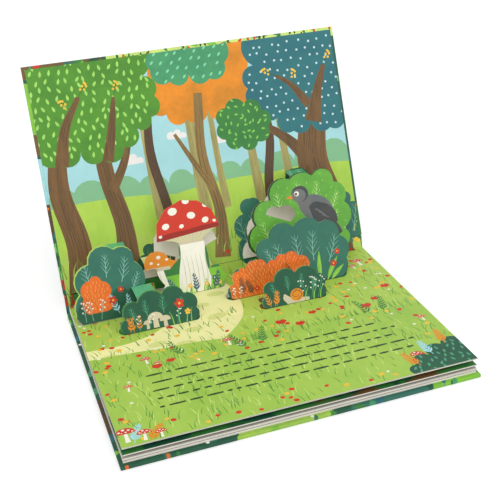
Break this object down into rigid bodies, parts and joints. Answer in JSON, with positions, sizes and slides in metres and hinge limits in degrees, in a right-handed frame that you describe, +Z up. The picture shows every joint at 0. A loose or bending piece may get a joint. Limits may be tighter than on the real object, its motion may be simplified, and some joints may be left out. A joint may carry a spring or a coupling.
{
  "type": "pop-up book",
  "caption": "Case-bound pop-up storybook standing open at one spread, with bushes and toadstools of card that rise from the page as the cover opens.",
  "frame": {"origin": "centre of the back cover's underside, on the table", "axes": "+X along the gutter to the right, +Y from the front edge to the spine, +Z up off the table"},
  "size_m": [0.2854, 0.2931, 0.1985],
  "materials": {
    "cover_wrap": "satin printed paper over board",
    "cream_paper": "matt uncoated card",
    "printed_meadow": "matt printed card",
    "printed_wood": "matt printed card",
    "print_green": "matt printed card",
    "print_dark_green": "matt printed card",
    "print_bright_green": "matt printed card",
    "print_red": "matt printed card",
    "print_orange": "matt printed card"
  },
  "bodies": {
    "lower_half": {"back_cover": "cover_wrap", "spine": "cover_wrap", "page_block": "cream_paper", "floor_page": "printed_meadow"},
    "upper_half": {"front_cover": "cover_wrap", "upright_backing": "cream_paper", "upright_page": "printed_wood"},
    "left_bush": {"left_bush": "print_green"},
    "front_left_bush": {"front_left_bush": "print_dark_green"},
    "toadstools": {"toadstools": "print_red"},
    "tall_bush": {"tall_bush": "print_bright_green"},
    "middle_bush": {"middle_bush": "print_orange"},
    "low_bush": {"low_bush": "print_dark_green"},
    "left_bush_strap": {"left_bush_strap": "print_bright_green"},
    "front_left_bush_strap": {"front_left_bush_strap": "print_green"},
    "toadstools_strap": {"toadstools_strap": "printed_meadow"},
    "tall_bush_strap": {"tall_bush_strap": "print_green"},
    "middle_bush_strap": {"middle_bush_strap": "print_orange"},
    "low_bush_strap": {"low_bush_strap": "print_orange"}
  },
  "joints": [
    {"name": "cover_hinge", "type": "hinge", "parent": "lower_half", "child": "upper_half", "pos_m": [0, 0.1056, 0.0087], "axis": [1, 0, 0], "range_deg": [-63, 104], "deforming": ["spine"]},
    {"name": "left_bush_crease", "type": "hinge", "parent": "lower_half", "child": "left_bush", "pos_m": [0, 0.06963, 0.0102], "axis": [1, 0, 0], "range_deg": [-63, 104]},
    {"name": "front_left_bush_crease", "type": "hinge", "parent": "lower_half", "child": "front_left_bush", "pos_m": [0, 0.04066, 0.0114], "axis": [1, 0, 0], "range_deg": [-63, 104]},
    {"name": "toadstools_crease", "type": "hinge", "parent": "lower_half", "child": "toadstools", "pos_m": [0, 0.08462, 0.00957], "axis": [1, 0, 0], "range_deg": [-63, 104]},
    {"name": "tall_bush_crease", "type": "hinge", "parent": "lower_half", "child": "tall_bush", "pos_m": [0, 0.08462, 0.00957], "axis": [1, 0, 0], "range_deg": [-63, 104]},
    {"name": "middle_bush_crease", "type": "hinge", "parent": "lower_half", "child": "middle_bush", "pos_m": [0, 0.05864, 0.01065], "axis": [1, 0, 0], "range_deg": [-63, 104]},
    {"name": "low_bush_crease", "type": "hinge", "parent": "lower_half", "child": "low_bush", "pos_m": [0, 0.03316, 0.01171], "axis": [1, 0, 0], "range_deg": [-63, 104]},
    {"name": "left_bush_strap_crease", "type": "hinge", "parent": "left_bush", "child": "left_bush_strap", "pos_m": [0, 0.08857, 0.05321], "axis": [1, 0, 0], "range_deg": [-104, 63]},
    {"name": "front_left_bush_strap_crease", "type": "hinge", "parent": "front_left_bush", "child": "front_left_bush_strap", "pos_m": [0, 0.05046, 0.03331], "axis": [1, 0, 0], "range_deg": [-104, 63]},
    {"name": "toadstools_strap_crease", "type": "hinge", "parent": "toadstools", "child": "toadstools_strap", "pos_m": [0, 0.09681, 0.03699], "axis": [1, 0, 0], "range_deg": [-104, 63]},
    {"name": "tall_bush_strap_crease", "type": "hinge", "parent": "tall_bush", "child": "tall_bush_strap", "pos_m": [0, 0.11786, 0.08563], "axis": [1, 0, 0], "range_deg": [-104, 63]},
    {"name": "middle_bush_strap_crease", "type": "hinge", "parent": "middle_bush", "child": "middle_bush_strap", "pos_m": [0, 0.0748, 0.04724], "axis": [1, 0, 0], "range_deg": [-104, 63]},
    {"name": "low_bush_strap_crease", "type": "hinge", "parent": "low_bush", "child": "low_bush_strap", "pos_m": [0, 0.04277, 0.03316], "axis": [1, 0, 0], "range_deg": [-104, 63]}
  ],
  "couplings": [
    {"joint": "left_bush_crease", "follows": "cover_hinge", "ratio": 1},
    {"joint": "front_left_bush_crease", "follows": "cover_hinge", "ratio": 1},
    {"joint": "toadstools_crease", "follows": "cover_hinge", "ratio": 1},
    {"joint": "tall_bush_crease", "follows": "cover_hinge", "ratio": 1},
    {"joint": "middle_bush_crease", "follows": "cover_hinge", "ratio": 1},
    {"joint": "low_bush_crease", "follows": "cover_hinge", "ratio": 1},
    {"joint": "left_bush_strap_crease", "follows": "cover_hinge", "ratio": -1},
    {"joint": "front_left_bush_strap_crease", "follows": "cover_hinge", "ratio": -1},
    {"joint": "toadstools_strap_crease", "follows": "cover_hinge", "ratio": -1},
    {"joint": "tall_bush_strap_crease", "follows": "cover_hinge", "ratio": -1},
    {"joint": "middle_bush_strap_crease", "follows": "cover_hinge", "ratio": -1},
    {"joint": "low_bush_strap_crease", "follows": "cover_hinge", "ratio": -1}
  ]
}
